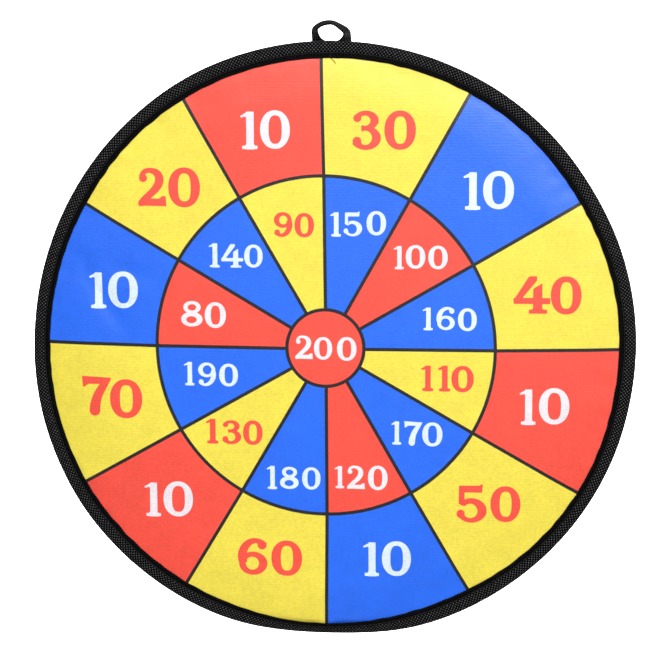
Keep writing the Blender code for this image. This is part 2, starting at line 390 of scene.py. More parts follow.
def thread_material(name, rgb):
    m, nt, b = principled(name, Roughness=0.45, Sheen_Weight=0.02)
    b.inputs["Specular IOR Level"].default_value = 0.22
    at = N(nt, "ShaderNodeAttribute", attribute_name="strip").outputs["Vector"]
    sep = N(nt, "ShaderNodeSeparateXYZ")
    nt.links.new(at, sep.inputs[0])
    turn = math_node(nt, "SINE", math_node(nt, "ADD",
                     math_node(nt, "MULTIPLY", sep.outputs[0], TAU / 0.55),
                     math_node(nt, "MULTIPLY", sep.outputs[1], TAU)))
    col = mixed(nt, remap(nt, turn, -1.0, 1.0, 0.0, 1.0), tuple(0.55 * c for c in rgb), rgb)
    fuzz = noise(nt, at, 6.0, 2.0, 0.6)
    col = times(nt, col, remap(nt, fuzz, 0.3, 0.7, 0.8, 1.2))
    nt.links.new(col, b.inputs["Base Color"])
    nt.links.new(remap(nt, turn, -1.0, 1.0, 0.52, 0.38), b.inputs["Roughness"])
    bump(nt, b, turn, 0.6, 0.00006)
    return m


def foam_material():
    m, nt, b = principled("open_cell_foam", Roughness=0.95)
    b.inputs["Subsurface Weight"].default_value = 0.0
    co = N(nt, "ShaderNodeTexCoord").outputs["Object"]
    cell = N(nt, "ShaderNodeTexVoronoi", in_Scale=1400.0)
    nt.links.new(co, cell.inputs["Vector"])
    cloud = noise(nt, co, 60.0, 2.0, 0.5)
    col = mixed(nt, remap(nt, cell.outputs["Distance"], 0.1, 0.6, 0.0, 1.0),
                (0.78, 0.76, 0.69), (0.90, 0.885, 0.83))
    col = times(nt, col, remap(nt, cloud, 0.3, 0.7, 0.96, 1.03))
    nt.links.new(col, b.inputs["Base Color"])
    bump(nt, b, cell.outputs["Distance"], 0.7, 0.0003)
    return m


def sheet_material():
    """Iron-filled rubber sheet, calendered, with a satin skin."""
    m, nt, b = principled("iron_filled_sheet", Roughness=0.58)
    b.inputs["Specular IOR Level"].default_value = 0.4
    co = N(nt, "ShaderNodeTexCoord").outputs["Object"]
    roll = noise(nt, stretched(nt, co, 40.0, 40.0, 1500.0), 1.0, 2.0, 0.5)
    grain = noise(nt, co, 1700.0, 2.0, 0.6)
    smear = noise(nt, co, 26.0, 3.0, 0.5)
    col = mixed(nt, remap(nt, grain, 0.35, 0.7, 0.0, 1.0), (0.048, 0.045, 0.043), (0.085, 0.079, 0.075))
    col = times(nt, col, remap(nt, smear, 0.3, 0.7, 0.85, 1.15))
    nt.links.new(col, b.inputs["Base Color"])
    nt.links.new(remap(nt, smear, 0.3, 0.7, 0.50, 0.66), b.inputs["Roughness"])
    bump(nt, b, math_node(nt, "ADD", roll, grain), 0.35, 0.0001)
    return m


M_FACE = printed_cloth()
M_TAPE = nonwoven("binding_nonwoven", (0.0018, 0.0018, 0.0022), (0.155, 0.155, 0.160), 2.15, 2.15,
                  sheen=0.012, pressed_shaded_to=SEAM_IN + 0.3)
M_LOOP = nonwoven("loop_tape_nonwoven", (0.0018, 0.0018, 0.0022), (0.110, 0.110, 0.114), 2.15, 2.15,
                  sheen=0.012)
M_BACK = nonwoven("backing_nonwoven", (0.016, 0.016, 0.0175), (0.050, 0.050, 0.053), 2.1, 2.1,
                  dots=0.9, rough=0.72, strength=0.6)
M_THREAD = thread_material("binding_thread_black", (0.016, 0.016, 0.018))
M_FOAM = foam_material()
M_FERR = sheet_material()

# ------------------------------------------------------------------ numerals
STEP = 2.5


def _norm(f):
    gy, gx = np.gradient(f, STEP)
    return f / np.maximum(np.hypot(gx, gy), 0.25)


def _ell(g, cx, cy, a, b, n=2.0):
    s = (np.abs((g[0] - cx) / a) ** n + np.abs((g[1] - cy) / b) ** n) ** (1.0 / n)
    return _norm((s - 1.0) * min(a, b))


def _dot(g, cx, cy, r):
    return np.hypot(g[0] - cx, g[1] - cy) - r


def _box(g, x0, x1, y0, y1, r=5.0):
    qx = np.abs(g[0] - (x0 + x1) / 2) - (x1 - x0) / 2 + r
    qy = np.abs(g[1] - (y0 + y1) / 2) - (y1 - y0) / 2 + r
    return np.minimum(np.maximum(qx, qy), 0) + np.hypot(np.maximum(qx, 0), np.maximum(qy, 0)) - r


def _poly(g, pts, r=4.0):
    x, y = g
    d = np.full(x.shape, 1e9)
    s = np.ones(x.shape)
    n = len(pts)
    for i in range(n):
        (ax, ay), (bx, by) = pts[i], pts[(i + 1) % n]
        ex, ey = bx - ax, by - ay
        wx, wy = x - ax, y - ay
        t = np.clip((wx * ex + wy * ey) / (ex * ex + ey * ey), 0, 1)
        d = np.minimum(d, (wx - ex * t) ** 2 + (wy - ey * t) ** 2)
        c = np.stack([y >= ay, y < by, ex * wy > ey * wx])
        s = np.where(c.all(0) | (~c).all(0), -s, s)
    return s * np.sqrt(d) - r


def _brush(g, pts):
    """Stroke of changing width through (x, y, r) points."""
    p = np.array(pts, float)
    q = np.vstack([2 * p[0] - p[1], p, 2 * p[-1] - p[-2]])
    d = np.full(g[0].shape, 1e9)
    for i in range(1, len(q) - 2):
        p0, p1, p2, p3 = q[i - 1:i + 3]
        for k in range(10):
            t = k / 10.0
            c = 0.5 * (2 * p1 + (p2 - p0) * t + (2 * p0 - 5 * p1 + 4 * p2 - p3) * t * t
                       + (3 * p1 - p0 - 3 * p2 + p3) * t ** 3)
            d = np.minimum(d, np.hypot(g[0] - c[0], g[1] - c[1]) - c[2])
    return np.minimum(d, np.hypot(g[0] - p[-1, 0], g[1] - p[-1, 1]) - p[-1, 2])


def _smin(a, b, k=12.0):
    h = np.clip(0.5 + 0.5 * (b - a) / k, 0, 1)
    return b * (1 - h) + a * h - k * h * (1 - h)


def _any(*f):
    return np.minimum.reduce(f)


def _all(*f):
    return np.maximum.reduce(f)


def g0(g):
    return _all(_ell(g, 400, 221, 130, 171, 2.15), -_ell(g, 402, 221, 57, 126, 2.7))


def g1(g):
    stem = _box(g, 150, 217, 66, 392, 3)
    foot = _box(g, 113, 250, 366, 396, 3)
    flag = _poly(g, [(101, 106), (160, 73), (211, 71), (211, 110), (154, 116), (144, 104), (106, 114)], 4)
    return _smin(_any(stem, flag), foot, 22)


def g2(g):
    ball = _dot(g, 96, 146, 35)
    arc = _brush(g, [(86, 128, 24), (98, 98, 23), (126, 80, 22), (160, 78, 23), (198, 88, 28),
                     (226, 114, 34), (238, 152, 37), (230, 196, 37), (204, 238, 35),
                     (168, 276, 32), (132, 308, 30), (100, 340, 28), (80, 368, 26)])
    foot = _poly(g, [(54, 386), (56, 352), (84, 322), (150, 330), (232, 332), (262, 309), (288, 309), (293, 391)], 4)
    return _any(ball, _smin(arc, foot, 8))


def g3(g):
    up = _all(_ell(g, 165, 139, 113, 86), -_ell(g, 155, 142, 50, 45),
              -_box(g, 0, 126, 118, 187, 0))
    lo = _all(_ell(g, 163, 296, 135, 106), -_ell(g, 158, 294, 60, 63),
              -_box(g, 0, 126, 228, 322, 0), -_box(g, -60, 62, 228, 350, 0))
    lo = _all(lo, -_box(g, 0, 122, 150, 240, 0))
    up = _all(up, -_box(g, 0, 122, 150, 240, 0))
    return _any(up, _smin(lo, _dot(g, 84, 323, 38), 22), _dot(g, 88, 119, 36),
                _box(g, 122, 215, 188, 227, 8))


def g4(g):
    diag = _poly(g, [(150, 60), (163, 54), (218, 54), (216, 88), (88, 247), (60, 293), (22, 293), (22, 266)], 4)
    bar = _box(g, 18, 338, 243, 297, 4)
    stem = _poly(g, [(192, 164), (264, 118), (264, 345), (192, 345)], 4)
    foot = _box(g, 151, 311, 347, 383, 3)
    return _any(diag, bar, _smin(stem, foot, 22))


def g5(g):
    ring = _all(_ell(g, 168, 291, 135, 106), -_ell(g, 158, 296, 63, 62),
                -_box(g, -20, 106, 150, 327, 0))
    stem = _poly(g, [(61, 82), (103, 82), (103, 215), (110, 250), (88, 248), (58, 232)], 4)
    bar = _poly(g, [(61, 82), (236, 81), (254, 69), (264, 69), (258, 133), (105, 133), (61, 133)], 4)
    return _any(ring, stem, bar, _dot(g, 73, 323, 37))


def g6(g):
    big = _all(_ell(g, 192, 212, 150, 163), -_ell(g, 212, 214, 94, 122),
               _box(g, 0, 214, 0, 262, 0))
    cap = _all(_ell(g, 192, 212, 150, 163), _box(g, 205, 300, 0, 98, 0))
    bowl = _all(_ell(g, 175, 272, 123, 103), -_ell(g, 168, 272, 57, 57))
    return _any(big, cap, bowl, _dot(g, 253, 110, 39))


def g7(g):
    bar = _poly(g, [(57, 36), (150, 42), (306, 50), (300, 76), (262, 98), (120, 98), (104, 100), (70, 126), (64, 124)], 4)
    leg = _brush(g, [(272, 76, 26), (246, 112, 32), (218, 154, 37), (194, 198, 40), (178, 240, 42),
                     (167, 285, 46), (162, 334, 48)])
    return _any(bar, leg)


def g8(g):
    up = _all(_ell(g, 154, 84, 57, 41, 2.1), -_ell(g, 154, 85, 28, 21))
    lo = _all(_ell(g, 152, 164, 70, 48, 2.1), -_ell(g, 150, 167, 34, 23))
    return _any(up, lo)


def g9(g):
    return g6((340.0 - g[0], 425.0 - g[1]))


# digit: field, box of its outline (x0, x1, y0, y1), bolder by this much already
GLYPH = {"0": (g0, (270, 530, 50, 392), 0.0), "1": (g1, (97, 248, 67, 396), 0.0),
         "2": (g2, (50, 297, 56, 395), 4.0), "3": (g3, (46, 298, 53, 402), 4.0),
         "4": (g4, (18, 338, 50, 383), 4.0), "5": (g5, (33, 303, 65, 397), 4.0),
         "6": (g6, (42, 298, 49, 375), 4.0), "7": (g7, (53, 310, 32, 382), 4.0),
         "8": (g8, (82, 222, 43, 212), 0.0), "9": (g9, (42, 298, 50, 376), 4.0)}

# where each numeral stands: middle x, middle z, width, height (mm); red or white
LABELS = [
    ("30", "r", [(22.4, 128.5, 16.6, 22.9), (41.9, 128.6, 18.4, 22.8)]),
    ("10", "w", [(83.8, 93.3, 9.8, 21.7), (99.4, 93.9, 17.9, 22.3)]),
    ("40", "r", [(119.5, 32.5, 21.5, 22.1), (139.4, 32.4, 17.9, 22.5)]),
    ("10", "w", [(117.6, -34.3, 9.4, 21.1), (133.3, -33.6, 17.8, 21.8)]),
    ("50", "r", [(85.0, -93.2, 18.2, 23.5), (105.2, -93.3, 17.8, 21.9)]),
    ("10", "w", [(24.8, -128.7, 9.5, 20.8), (40.2, -128.0, 17.4, 21.5)]),
    ("60", "r", [(-47.1, -128.5, 18.0, 22.9), (-26.3, -129.2, 18.7, 22.0)]),
    ("10", "w", [(-108.0, -94.3, 9.9, 20.6), (-92.2, -93.7, 18.0, 21.7)]),
    ("70", "r", [(-141.0, -31.0, 17.7, 24.4), (-123.1, -32.6, 19.7, 23.9)]),
    ("10", "w", [(-139.4, 33.1, 10.0, 21.4), (-123.8, 33.5, 18.0, 22.1)]),
    ("20", "r", [(-105.2, 94.9, 16.9, 22.6), (-86.0, 94.8, 19.0, 23.6)]),
    ("10", "w", [(-47.1, 128.4, 10.1, 21.8), (-31.6, 128.9, 17.6, 22.5)]),
    ("150", "w", [(3.9, 73.4, 6.2, 14.2), (14.1, 73.7, 11.1, 14.6), (28.0, 74.2, 11.5, 14.3)]),
    ("100", "w", [(41.2, 54.0, 5.9, 13.6), (51.1, 54.5, 11.5, 14.0), (64.3, 54.2, 11.4, 13.9)]),
    ("160", "w", [(58.4, 17.8, 6.0, 13.4), (69.0, 18.1, 10.8, 13.8), (81.8, 17.5, 11.1, 13.5)]),
    ("110", "r", [(58.2, -17.8, 7.1, 15.3), (68.2, -17.8, 7.2, 15.4), (79.2, -18.0, 13.2, 15.8)]),
    ("170", "w", [(39.9, -51.0, 5.8, 13.9), (50.1, -51.2, 10.7, 14.8), (61.5, -51.6, 12.0, 14.6)]),
    ("120", "w", [(5.8, -78.5, 5.7, 13.4), (15.8, -78.5, 10.8, 14.2), (28.9, -78.6, 11.8, 14.9)]),
    ("180", "w", [(-35.0, -79.4, 6.2, 14.1), (-24.4, -79.5, 11.3, 13.6), (-11.1, -79.6, 11.1, 13.7)]),
    ("130", "r", [(-71.1, -51.6, 7.4, 15.0), (-59.0, -52.1, 11.4, 14.7), (-46.3, -52.2, 11.9, 15.0)]),
    ("190", "w", [(-84.5, -16.7, 6.2, 14.1), (-73.6, -17.0, 10.8, 14.3), (-60.6, -17.3, 11.4, 13.8)]),
    ("80", "w", [(-82.4, 19.5, 12.9, 15.3), (-68.2, 18.8, 12.7, 15.5)]),
    ("140", "w", [(-68.5, 54.6, 6.5, 14.2), (-57.7, 54.4, 13.1, 14.0), (-45.0, 54.3, 11.1, 13.7)]),
    ("90", "r", [(-27.1, 73.1, 11.0, 14.7), (-14.6, 72.8, 11.6, 14.4)]),
    ("200", "w", [(-15.1, 0.0, 10.5, 14.1), (-3.7, -0.5, 10.9, 13.6), (10.4, -0.7, 11.6, 14.3)]),
]

# the printed lines: direction of each spoke from the ring's middle, in degrees,
# at 24, 101 and 168 mm out
RING_MID, BULL_MID = (-2.70, 0.20), (-2.34, -0.37)
BULL_R, LINE_HALF = 23.0, 1.0
SPOKE_AT = (24.0, 101.3, 168.0)
SPOKES = [(-2.50, -0.60, 0.05), (-30.09, -29.91, -29.78), (-57.56, -59.60, -59.67),
          (-88.03, -89.41, -89.86), (-117.80, -119.72, -120.23), (-146.95, -149.68, -150.07),
          (-177.77, -179.90, -180.50), (150.06, 149.44, 149.35), (118.36, 119.66, 119.66),
          (88.80, 90.14, 90.55), (58.77, 60.12, 60.29), (27.90, 29.47, 29.85)]
# sectors, clockwise from the one just right of the top spoke: outer, inner
SECTORS = ["YB", "BR", "YB", "RY", "YB", "BR", "YB", "RY", "YB", "BR", "YB", "RY"]

DYE = {"R": (0.95, 0.078, 0.048), "Y": (0.90, 0.748, 0.072), "B": (0.010, 0.145, 0.92),
       "w": (0.87, 0.80, 0.84), "v": (0.73, 0.85, 0.91), "r": (0.95, 0.080, 0.050), "k": (0.002, 0.003, 0.006)}


def ring_r(th):
    return 101.28 - 0.31 * np.cos(2 * th) - 0.28 * np.sin(2 * th) \
        + 0.08 * np.cos(3 * th) - 0.07 * np.sin(3 * th)


def spoke_line(k):
    """The four corners of a spoke's middle line, out to under the binding."""
    a = np.radians(np.array(SPOKES[k]))
    r = np.array(SPOKE_AT)
    p = np.stack([RING_MID[0] + r * np.cos(a), RING_MID[1] + r * np.sin(a)], -1)
    first = p[0] - (p[1] - p[0]) / np.linalg.norm(p[1] - p[0]) * 4.0
    last = p[2] + (p[2] - p[1]) / np.linalg.norm(p[2] - p[1]) * 16.0
    return np.vstack([first, p[1], p[2], last])


def spoke_distance(k, x, z):
    p = spoke_line(k)
    d = np.full(x.shape, 1e9)
    for a, b in zip(p[:-1], p[1:]):
        e = b - a
        t = np.clip(((x - a[0]) * e[0] + (z - a[1]) * e[1]) / (e @ e), 0, 1)
        d = np.minimum(d, np.hypot(x - a[0] - e[0] * t, z - a[1] - e[1] * t))
    return d


def bilinear(f, ix, iy):
    """f[iy, ix] at fractional places."""
    ix = np.clip(ix, 0, f.shape[1] - 1.001)
    iy = np.clip(iy, 0, f.shape[0] - 1.001)
    x0, y0 = ix.astype(int), iy.astype(int)
    u, v = ix - x0, iy - y0
    return (f[y0, x0] * (1 - u) * (1 - v) + f[y0, x0 + 1] * u * (1 - v)
            + f[y0 + 1, x0] * (1 - u) * v + f[y0 + 1, x0 + 1] * u * v)


class Numeral:
    def __init__(self, ch, ink, xc, zc, w, h):
        fn, (b0, b1, b2, b3), done = GLYPH[ch]
        off = (0.0 if ink == "w" else 4.0) * ((b3 - b2) / 342.0) - done
        self.ink = ink
        xs = np.arange(b0 - 30, b1 + 30, STEP)
        ys = np.arange(b2 - 30, b3 + 30, STEP)
        self.f = fn(np.meshgrid(xs, ys)) - off
        self.x0, self.y0 = xs[0], ys[0]
        self.sx = (b1 - b0 + 2 * off) / w          # glyph units per mm
        self.sz = (b3 - b2 + 2 * off) / h
        self.gx, self.gy = (b0 + b1) / 2, (b2 + b3) / 2
        self.xc, self.zc, self.w, self.h = xc, zc, w, h
        self.on_blue = False

    def inside(self, x, z):
        gx = self.gx + (x - self.xc) * self.sx
        gy = self.gy - (z - self.zc) * self.sz
        near = (np.abs(x - self.xc) < self.w / 2 + 1) & (np.abs(z - self.zc) < self.h / 2 + 1)
        out = np.full(x.shape, 1e3)
        out[near] = bilinear(self.f, (gx[near] - self.x0) / STEP, (gy[near] - self.y0) / STEP)
        return out < 0

    def outlines(self, step):
        """Closed outlines in board millimetres, evenly stepped."""
        hop = 2
        f = self.f[::hop, ::hop]
        ny, nx = f.shape
        at, links = {}, {}

        def cross(a, b):
            key = (a, b)
            if key not in at:
                fa, fb = f[a[1], a[0]], f[b[1], b[0]]
                t = fa / (fa - fb)
                at[key] = (a[0] + (b[0] - a[0]) * t, a[1] + (b[1] - a[1]) * t)
            return key

        neg = f < 0
        mixed_cell = np.argwhere((neg[:-1, :-1] ^ neg[1:, 1:]) | (neg[:-1, 1:] ^ neg[1:, :-1])
                                 | (neg[:-1, :-1] ^ neg[:-1, 1:]))
        for j, i in mixed_cell:
            c = [(i, j), (i + 1, j), (i + 1, j + 1), (i, j + 1)]
            s = [neg[q[1], q[0]] for q in c]
            cuts = []
            for k in range(4):
                a, b = c[k], c[(k + 1) % 4]
                if s[k] != s[(k + 1) % 4]:
                    cuts.append(cross(min(a, b), max(a, b)))
            if len(cuts) == 4 and s[0]:
                cuts = [cuts[3], cuts[0], cuts[1], cuts[2]]
            for a, b in zip(cuts[::2], cuts[1::2]):
                links.setdefault(a, []).append(b)
                links.setdefault(b, []).append(a)
        loops, seen = [], set()
        for start in links:
            if start in seen:
                continue
            loop, prev, cur = [start], None, start
            seen.add(start)
            while True:
                nxt = [q for q in links[cur] if q != prev]
                if not nxt or nxt[0] == start:
                    break
                prev, cur = cur, nxt[0]
                if cur in seen:
                    break
                seen.add(cur)
                loop.append(cur)
            if len(loop) < 6:
                continue
            p = np.array([at[q] for q in loop])
            gx = self.x0 + p[:, 0] * STEP * hop
            gy = self.y0 + p[:, 1] * STEP * hop
            q = np.stack([self.xc + (gx - self.gx) / self.sx, self.zc - (gy - self.gy) / self.sz], -1)
            loops.append(evenly(q, step))
        return loops


def evenly(p, step):
    q = np.vstack([p, p[:1]])
    d = np.append(0.0, np.cumsum(np.hypot(*np.diff(q, axis=0).T)))
    n = max(8, int(round(d[-1] / step)))
    s = np.arange(n) * d[-1] / n
    return np.stack([np.interp(s, d, q[:, 0]), np.interp(s, d, q[:, 1])], -1)


NUMERALS = []
for text, ink, boxes in LABELS:
    for ch, box in zip(text, boxes):
        NUMERALS.append(Numeral(ch, ink, *box))
        # white ink on a blue ground picks up some of the blue
        NUMERALS[-1].on_blue = (text, round(boxes[0][0])) in {
            ("10", 84), ("10", 25), ("10", -139), ("150", 4), ("160", 58), ("170", 40),
            ("180", -35), ("190", -84), ("190", -85), ("140", -68), ("140", -69)}


def print_codes(x, z):
    """Letter of the dye at every point."""
    out = np.full(x.shape, "k")
    rx, rz = x - RING_MID[0], z - RING_MID[1]
    R, A = np.hypot(rx, rz), np.arctan2(rz, rx)
    dirs = np.stack([np.interp(R, SPOKE_AT, np.unwrap(np.radians(SPOKES[k]))) for k in range(12)])
    near = ((dirs - A) % TAU).argmin(0)       # first spoke anticlockwise of the point
    # sectors are listed clockwise from the top spoke
    ang = np.array([SPOKES[k][1] for k in range(12)], float)
    rank = np.round(((90.14 - ang) % 360.0) / 30.0).astype(int) % 12
    sector = rank[near]
    ring = ring_r(A)
    names = np.array(SECTORS)
    outer = np.array([s[0] for s in names])[sector]
    inner = np.array([s[1] for s in names])[sector]
    out = np.where(R > ring, outer, inner)
    line = np.abs(R - ring) < LINE_HALF
    for k in range(12):
        line |= spoke_distance(k, x, z) < LINE_HALF
    B = np.hypot(x - BULL_MID[0], z - BULL_MID[1])
    out = np.where(line, "k", out)
    out = np.where(B < BULL_R, "R", out)
    out = np.where(np.abs(B - BULL_R) < LINE_HALF, "k", out)
    for n in NUMERALS:
        ink = n.ink
        if ink == "w" and n.on_blue:
            ink = "v"
        out = np.where(n.inside(x, z), ink, out)
    return out


# ------------------------------------------------- how the padded face lies
def stretched_cloth():
    """The face cloth pulled over its padding and held by the seam all round, as
    a cloth simulation at ten times the size. Returns its unevenness on a grid."""
    h = 4.6
    pts = [(0.0, 0.0)]
    for j in range(-45, 46):
        for i in range(-45, 46):
            x, z = (i + 0.5 * (j & 1)) * h, j * h * math.sqrt(0.75)
            if 0 < math.hypot(x, z) < 172.0:
                pts.append((x, z))
    ring = 236
    base = len(pts)
    for rr in (174.2, 177.5):
        pts += [(rr * math.cos(TAU * k / ring), rr * math.sin(TAU * k / ring)) for k in range(ring)]
    v, e, f, _, _, _ = delaunay_2d_cdt([Vector(p) for p in pts], [], [], 0, 1e-5)
    co = np.array([(p.x, p.y) for p in v])
    r, th = polar(co[:, 0], co[:, 1])
    held = r > 173.0
    pull = wobble(31, 26, 84, 0.2)
    tug = wobble(32, 20, 60, 0.2)
    me = bpy.data.meshes.new("face_sim")
    me.from_pydata([(x * 0.01, 0.0, z * 0.01) for x, z in co], [], [tuple(t) for t in f])
    me.update()
    if me.polygons[0].normal.y > 0:
        me.flip_normals()
    ob = bpy.data.objects.new("face_sim", me)
    bpy.context.scene.collection.objects.link(ob)
    ob.shape_key_add(name="Basis")
    key = ob.shape_key_add(name="sewn")
    for i in np.nonzero(held)[0]:
        s = 1.0 - 0.0042 - 0.0016 * pull(th[i])
        a = th[i] + 0.0016 * tug(th[i])
        key.data[int(i)].co = (co[i, 0] * 0 + 0.01 * r[i] * s * math.cos(a),
                               -0.006 * float(pull(th[i] * 1.0 + 0.7)),
                               0.01 * r[i] * s * math.sin(a))
    key.value = 0.0
    key.keyframe_insert("value", frame=1)
    key.value = 1.0
    key.keyframe_insert("value", frame=8)
    grp = ob.vertex_groups.new(name="seam")
    grp.add([int(i) for i in np.nonzero(held)[0]], 1.0, "REPLACE")
    mod = ob.modifiers.new("cloth", "CLOTH")
    s = mod.settings
    s.quality = 6
    s.mass = 0.25
    s.tension_stiffness = s.compression_stiffness = 22.0
    s.shear_stiffness = 10.0
    s.bending_stiffness = 1.4
    s.air_damping = 6.0
    s.vertex_group_mass = "seam"
    s.pin_stiffness = 1.0
    s.use_pressure = True
    s.uniform_pressure_force = 4.0
    s.effector_weights.gravity = 0.0
    mod.collision_settings.use_collision = False
    mod.point_cache.frame_start, mod.point_cache.frame_end = 1, 20
    sc = bpy.context.scene
    for fr in range(1, 21):
        sc.frame_set(fr)
    dg = bpy.context.evaluated_depsgraph_get()
    ev = ob.evaluated_get(dg)
    out = np.zeros(len(ev.data.vertices) * 3, np.float32)
    ev.data.vertices.foreach_get("co", out)
    out = out.reshape(-1, 3).astype(float) * 100.0
    sc.frame_set(1)
    hgt = -out[:, 1]
    # take away the even dome, keep what the seam and the cloth's slack make of it
    bins = np.linspace(0, 178, 24)
    rr = np.hypot(out[:, 0], out[:, 2])
    mean = np.array([np.median(hgt[np.abs(rr - b) < 9.0]) for b in bins])
    uneven = hgt - np.interp(rr, bins, mean)
    tree = BVHTree.FromPolygons([(p[0], u, p[2]) for p, u in zip(out, uneven)],
                                [tuple(t) for t in f])
    n = 151
    g = np.linspace(-180, 180, n)
    grid = np.zeros((n, n))
    for j, z in enumerate(g):
        for i, x in enumerate(g):
            if x * x + z * z < 176.0 ** 2:
                hit = tree.ray_cast(Vector((x, -900.0, z)), Vector((0, 1, 0)))
                if hit[0] is not None:
                    grid[j, i] = hit[0].y
    k = np.array([1, 4, 6, 4, 1]) / 16.0
    for _ in range(2):
        grid = np.apply_along_axis(lambda a: np.convolve(a, k, "same"), 0, grid)
        grid = np.apply_along_axis(lambda a: np.convolve(a, k, "same"), 1, grid)
    bpy.data.objects.remove(ob)
    bpy.data.meshes.remove(me)
    print("face simulation: unevenness mm", np.round(np.percentile(grid, [0, 5, 50, 95, 100]), 3))
    return grid


UNEVEN = stretched_cloth()
UNEVEN_GAIN, UNEVEN_CAP = 1.0, 0.35
NEAR_RIM = wobble(14, 50, 110, 0.2)
# soft hollows and creases pressed into the padding:
# middle x, z, half length, half width, tilt in degrees, depth
DENTS = [(-133.0, 24.0, 17.0, 5.5, -58.0, 0.95), (-146.0, 46.0, 14.0, 5.0, -70.0, 0.55),
         (-118.0, 44.0, 12.0, 4.5, -20.0, 0.45), (-124.0, -80.0, 16.0, 6.0, -30.0, 0.65),
         (-138.0, -62.0, 11.0, 5.0, 20.0, 0.35),
         (62.0, -148.0, 20.0, 6.0, 18.0, 0.32), (20.0, -139.0, 15.0, 7.0, -12.0, 0.28),
         (134.0, 62.0, 24.0, 8.0, -40.0, 0.28), (-40.0, 152.0, 20.0, 6.0, 10.0, 0.22),
         (22.0, -44.0, 34.0, 16.0, 30.0, 0.22), (-62.0, 88.0, 30.0, 13.0, 40.0, 0.20),
         (100.0, -120.0, 18.0, 7.0, -50.0, 0.30)]


def face_front(x, z):
    """Front of the padded face."""
    r, th = polar(x, z)
    ri, c = lip_in(th), curl(th)
    under = lip_front(np.maximum(r, ri + 0.6), th) + TAPE_T + 0.07 \
        + 0.14 * np.exp(-((r - seam_r(th)) / 1.5) ** 2)
    r0 = 147.0 + 7.0 * c
    t = np.clip((r - r0) / (ri + 0.6 - r0), 0.0, 1.0)
    dome = -7.60 + 0.18 * np.minimum(r / r0, 1.0) ** 2
    drop = 0.45 * smooth01(t) + 0.55 * t ** 2.2
    y = dome * (1 - drop) + under * drop
    free = 1.0 - smooth01((r - (ri - 5.0)) / 5.5)
    u = bilinear(UNEVEN, (x + 180.0) / 2.4, (z + 180.0) / 2.4) * UNEVEN_GAIN
    u = UNEVEN_CAP * np.tanh(u / UNEVEN_CAP)
    y = y - u * free
    y = y - 0.085 * NEAR_RIM(th) * np.exp(-((r - (ri - 3.5)) / 4.0) ** 2)
    for dx, dz, a, b, tilt, deep in DENTS:
        ca, sa = math.cos(math.radians(tilt)), math.sin(math.radians(tilt))
        p = ((x - dx) * ca + (z - dz) * sa) / a
        q = (-(x - dx) * sa + (z - dz) * ca) / b
        y = y + deep * np.exp(-(p * p + q * q)) * free
    return np.where(r > ri + 0.6, under, y)


def stack_r(th):
    return rim_out(th) - 1.75


FACE_T = 0.5


def disc_points(step, limit, keep=None):
    n = int(190 / step) + 1
    jj, ii = np.mgrid[-n:n + 1, -n:n + 1]
    x = (ii + 0.5 * (jj & 1)) * step
    z = jj * step * math.sqrt(0.75)
    x, z = x.ravel() + 0.137, z.ravel() - 0.071
    r, th = polar(x, z)
    ok = r < limit(th)
    return np.stack([x[ok], z[ok]], -1)


def rim_points(n, radius):
    th = np.arange(n) * TAU / n
    r = radius(th)
    return np.stack([r * np.cos(th), r * np.sin(th)], -1)


def triangulated(groups, edges_of, rim_n):
    """Constrained triangulation inside the rim; the rim's points come first."""
    pts = np.vstack(groups)
    v, _, f, src, _, _ = delaunay_2d_cdt([Vector(p) for p in pts], edges_of, [], 1, 1e-6)
    co = np.array([(p.x, p.y) for p in v])
    where = {}
    for i, s in enumerate(src):
        for q in s:
            if q < rim_n:
                where[q] = i
    rim = np.array([where[q] for q in range(rim_n)])
    return co, np.array([tuple(t) for t in f], np.int32), rim


def ring_edges(start, n):
    return [(start + k, start + (k + 1) % n) for k in range(n)]


